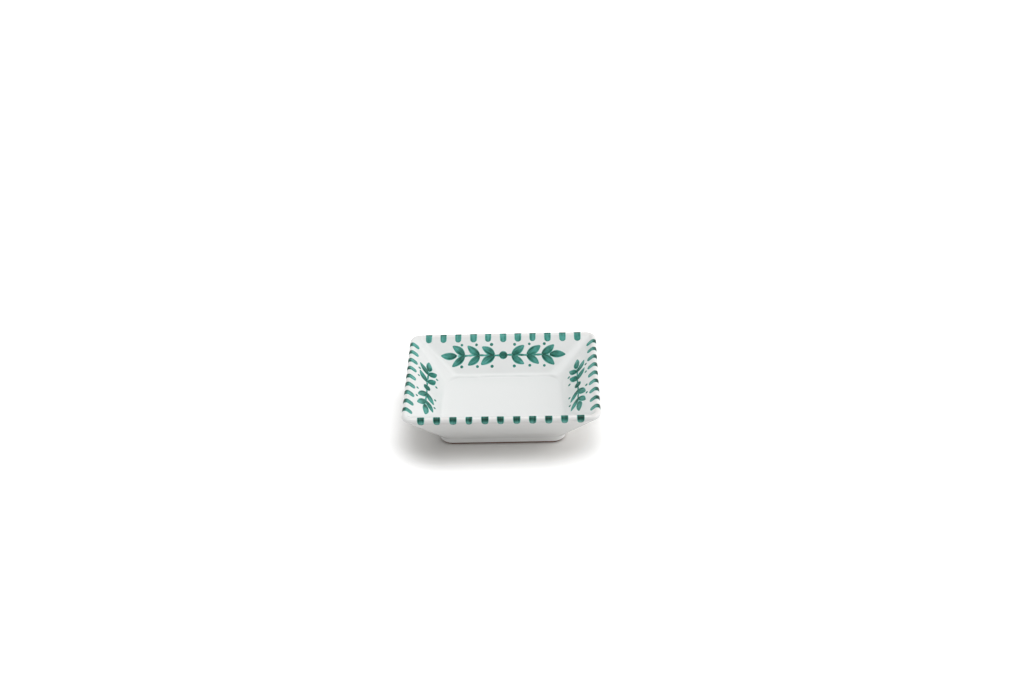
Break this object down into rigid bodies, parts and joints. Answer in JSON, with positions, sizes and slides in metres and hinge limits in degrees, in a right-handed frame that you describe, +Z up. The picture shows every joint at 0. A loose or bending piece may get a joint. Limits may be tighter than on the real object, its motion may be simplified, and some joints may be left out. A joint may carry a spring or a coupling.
{
  "type": "rectangular snack bowl",
  "caption": "Small rectangular ceramic bowl with sloping walls, a rounded lip and a low hollow foot, for snacks or dips.",
  "frame": {"origin": "on the table under the centre of the foot", "axes": "+Z up, X along the bowl's long side, Y along its short side"},
  "size_m": [0.0902, 0.0732, 0.0254],
  "materials": {
    "bare_clay": "fired earthenware, unglazed, matt and fine-grained",
    "white_glaze": "opaque white tin glaze, glossy, slightly uneven",
    "green_pigment": "brushed green under the same gloss, darker where it pooled"
  },
  "bodies": {
    "root": {"clay_body": "bare_clay", "glaze_coat": "white_glaze", "recess_glaze": "white_glaze", "wall_brushwork": "green_pigment", "lip_brushwork": "green_pigment"}
  },
  "joints": []
}
